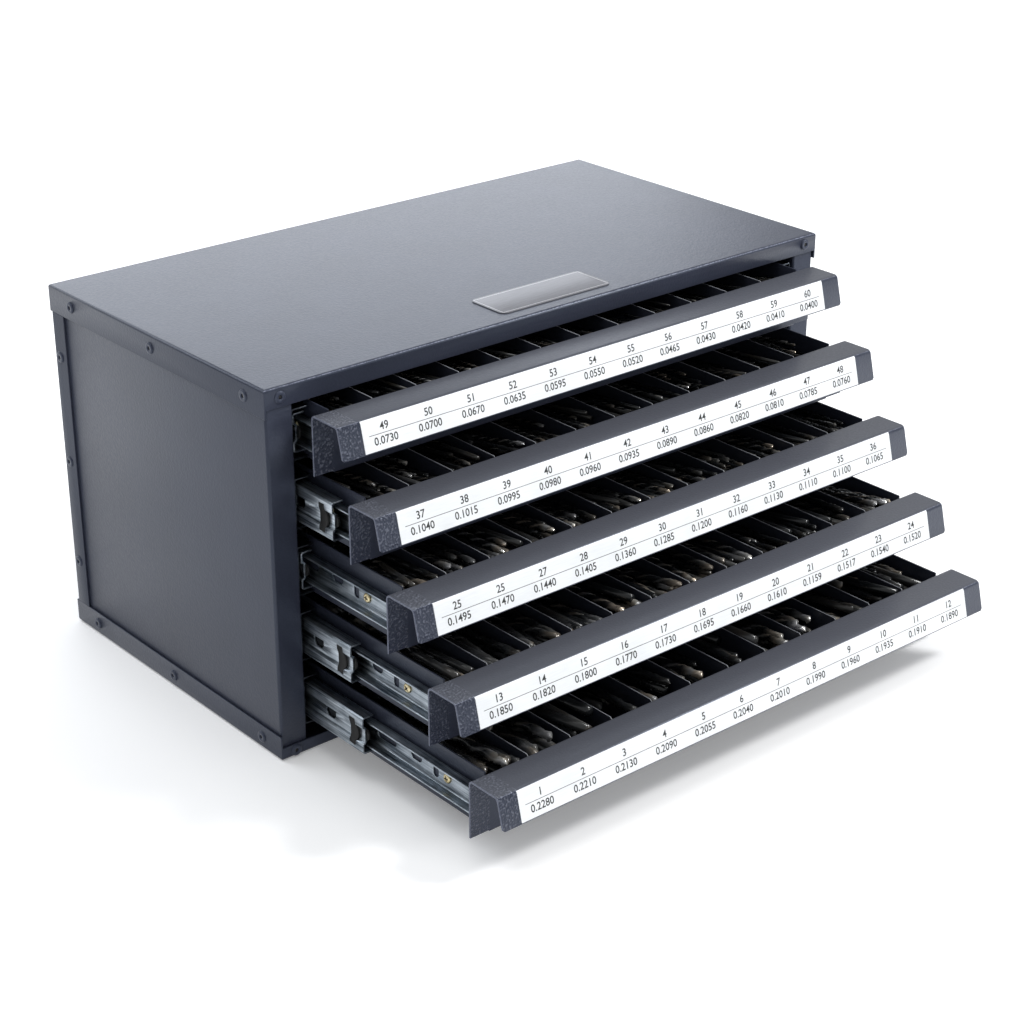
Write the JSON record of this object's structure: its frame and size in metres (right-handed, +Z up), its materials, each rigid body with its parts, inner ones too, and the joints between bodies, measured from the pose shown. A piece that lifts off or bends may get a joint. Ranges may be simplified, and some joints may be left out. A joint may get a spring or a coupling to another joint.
{
  "type": "drill bit drawer case",
  "caption": "Riveted sheet steel benchtop case with label-fronted drawers, each split into drill bit compartments, on telescopic ball-bearing slides.",
  "frame": {"origin": "centre of the case's flat underside", "axes": "+X to the right across the drawer fronts, +Y to the back, +Z up"},
  "size_m": [0.382, 0.3577, 0.2025],
  "materials": {
    "case_paint": "slate blue-grey powder coat with a fine orange-peel texture",
    "drawer_paint": "slate blue-grey powder coat",
    "divider_paint": "dark powder coat, satin",
    "rivet_paint": "painted blind rivet heads with a dimple",
    "nameplate_foil": "blank silver-grey adhesive plate",
    "label_film": "silver-white printed label film",
    "zinc_steel": "bright zinc plate",
    "cage_steel": "plain steel",
    "screw_brass": "yellow zinc",
    "black_plastic": "moulded black plastic"
  },
  "bodies": {
    "case": {"top_cover": "case_paint", "base_pan": "case_paint", "left_side_panel": "case_paint", "right_side_panel": "case_paint", "back_panel": "case_paint", "rear_slide_brackets": "case_paint", "case_rivets": "rivet_paint", "nameplate": "nameplate_foil", "slide_outer_members": "zinc_steel", "slide_case_screws": "zinc_steel"},
    "slides_1": {"slide_1_middle_members": "zinc_steel", "slide_1_bumpers": "black_plastic"},
    "outer_cages_1": {"slide_1_outer_cages": "cage_steel"},
    "inner_cages_1": {"slide_1_inner_cages": "cage_steel"},
    "drawer_1": {"drawer_1_front": "drawer_paint", "drawer_1_tray": "drawer_paint", "drawer_1_dividers": "divider_paint", "drawer_1_label": "label_film", "drawer_1_slide_members": "zinc_steel", "drawer_1_slide_screws": "screw_brass"},
    "slides_2": {"slide_2_middle_members": "zinc_steel", "slide_2_bumpers": "black_plastic"},
    "outer_cages_2": {"slide_2_outer_cages": "cage_steel"},
    "inner_cages_2": {"slide_2_inner_cages": "cage_steel"},
    "drawer_2": {"drawer_2_front": "drawer_paint", "drawer_2_tray": "drawer_paint", "drawer_2_dividers": "divider_paint", "drawer_2_label": "label_film", "drawer_2_slide_members": "zinc_steel", "drawer_2_slide_screws": "screw_brass"},
    "slides_3": {"slide_3_middle_members": "zinc_steel", "slide_3_bumpers": "black_plastic"},
    "outer_cages_3": {"slide_3_outer_cages": "cage_steel"},
    "inner_cages_3": {"slide_3_inner_cages": "cage_steel"},
    "drawer_3": {"drawer_3_front": "drawer_paint", "drawer_3_tray": "drawer_paint", "drawer_3_dividers": "divider_paint", "drawer_3_label": "label_film", "drawer_3_slide_members": "zinc_steel", "drawer_3_slide_screws": "screw_brass"},
    "slides_4": {"slide_4_middle_members": "zinc_steel", "slide_4_bumpers": "black_plastic"},
    "outer_cages_4": {"slide_4_outer_cages": "cage_steel"},
    "inner_cages_4": {"slide_4_inner_cages": "cage_steel"},
    "drawer_4": {"drawer_4_front": "drawer_paint", "drawer_4_tray": "drawer_paint", "drawer_4_dividers": "divider_paint", "drawer_4_label": "label_film", "drawer_4_slide_members": "zinc_steel", "drawer_4_slide_screws": "screw_brass"},
    "slides_5": {"slide_5_middle_members": "zinc_steel", "slide_5_bumpers": "black_plastic"},
    "outer_cages_5": {"slide_5_outer_cages": "cage_steel"},
    "inner_cages_5": {"slide_5_inner_cages": "cage_steel"},
    "drawer_5": {"drawer_5_front": "drawer_paint", "drawer_5_tray": "drawer_paint", "drawer_5_dividers": "divider_paint", "drawer_5_label": "label_film", "drawer_5_slide_members": "zinc_steel", "drawer_5_slide_screws": "screw_brass"}
  },
  "joints": [
    {"name": "slide_1_extend", "type": "slide", "parent": "case", "child": "slides_1", "axis": [0, -1, 0], "range_m": [0, 0.088]},
    {"name": "drawer_1_extend", "type": "slide", "parent": "slides_1", "child": "drawer_1", "axis": [0, -1, 0], "range_m": [-0.0135, 0.0745]},
    {"name": "outer_cage_1_creep", "type": "slide", "parent": "case", "child": "outer_cages_1", "axis": [0, -1, 0], "range_m": [0, 0.044]},
    {"name": "inner_cage_1_creep", "type": "slide", "parent": "slides_1", "child": "inner_cages_1", "axis": [0, -1, 0], "range_m": [-0.00675, 0.03725]},
    {"name": "slide_2_extend", "type": "slide", "parent": "case", "child": "slides_2", "axis": [0, -1, 0], "range_m": [-0.0297, 0.0583]},
    {"name": "drawer_2_extend", "type": "slide", "parent": "slides_2", "child": "drawer_2", "axis": [0, -1, 0], "range_m": [-0.0115, 0.0765]},
    {"name": "outer_cage_2_creep", "type": "slide", "parent": "case", "child": "outer_cages_2", "axis": [0, -1, 0], "range_m": [-0.01485, 0.02915]},
    {"name": "inner_cage_2_creep", "type": "slide", "parent": "slides_2", "child": "inner_cages_2", "axis": [0, -1, 0], "range_m": [-0.00575, 0.03825]},
    {"name": "slide_3_extend", "type": "slide", "parent": "case", "child": "slides_3", "axis": [0, -1, 0], "range_m": [-0.002, 0.086]},
    {"name": "drawer_3_extend", "type": "slide", "parent": "slides_3", "child": "drawer_3", "axis": [0, -1, 0], "range_m": [-0.0672, 0.0208]},
    {"name": "outer_cage_3_creep", "type": "slide", "parent": "case", "child": "outer_cages_3", "axis": [0, -1, 0], "range_m": [-0.001, 0.043]},
    {"name": "inner_cage_3_creep", "type": "slide", "parent": "slides_3", "child": "inner_cages_3", "axis": [0, -1, 0], "range_m": [-0.0336, 0.0104]},
    {"name": "slide_4_extend", "type": "slide", "parent": "case", "child": "slides_4", "axis": [0, -1, 0], "range_m": [-0.0406, 0.0474]},
    {"name": "drawer_4_extend", "type": "slide", "parent": "slides_4", "child": "drawer_4", "axis": [0, -1, 0], "range_m": [-0.0592, 0.0288]},
    {"name": "outer_cage_4_creep", "type": "slide", "parent": "case", "child": "outer_cages_4", "axis": [0, -1, 0], "range_m": [-0.0203, 0.0237]},
    {"name": "inner_cage_4_creep", "type": "slide", "parent": "slides_4", "child": "inner_cages_4", "axis": [0, -1, 0], "range_m": [-0.0296, 0.0144]},
    {"name": "slide_5_extend", "type": "slide", "parent": "case", "child": "slides_5", "axis": [0, -1, 0], "range_m": [-0.0489, 0.0391]},
    {"name": "drawer_5_extend", "type": "slide", "parent": "slides_5", "child": "drawer_5", "axis": [0, -1, 0], "range_m": [-0.0807, 0.0073]},
    {"name": "outer_cage_5_creep", "type": "slide", "parent": "case", "child": "outer_cages_5", "axis": [0, -1, 0], "range_m": [-0.02445, 0.01955]},
    {"name": "inner_cage_5_creep", "type": "slide", "parent": "slides_5", "child": "inner_cages_5", "axis": [0, -1, 0], "range_m": [-0.04035, 0.00365]}
  ],
  "couplings": [
    {"joint": "outer_cage_1_creep", "follows": "slide_1_extend", "ratio": 0.5},
    {"joint": "inner_cage_1_creep", "follows": "drawer_1_extend", "ratio": 0.5},
    {"joint": "outer_cage_2_creep", "follows": "slide_2_extend", "ratio": 0.5},
    {"joint": "inner_cage_2_creep", "follows": "drawer_2_extend", "ratio": 0.5},
    {"joint": "outer_cage_3_creep", "follows": "slide_3_extend", "ratio": 0.5},
    {"joint": "inner_cage_3_creep", "follows": "drawer_3_extend", "ratio": 0.5},
    {"joint": "outer_cage_4_creep", "follows": "slide_4_extend", "ratio": 0.5},
    {"joint": "inner_cage_4_creep", "follows": "drawer_4_extend", "ratio": 0.5},
    {"joint": "outer_cage_5_creep", "follows": "slide_5_extend", "ratio": 0.5},
    {"joint": "inner_cage_5_creep", "follows": "drawer_5_extend", "ratio": 0.5}
  ]
}
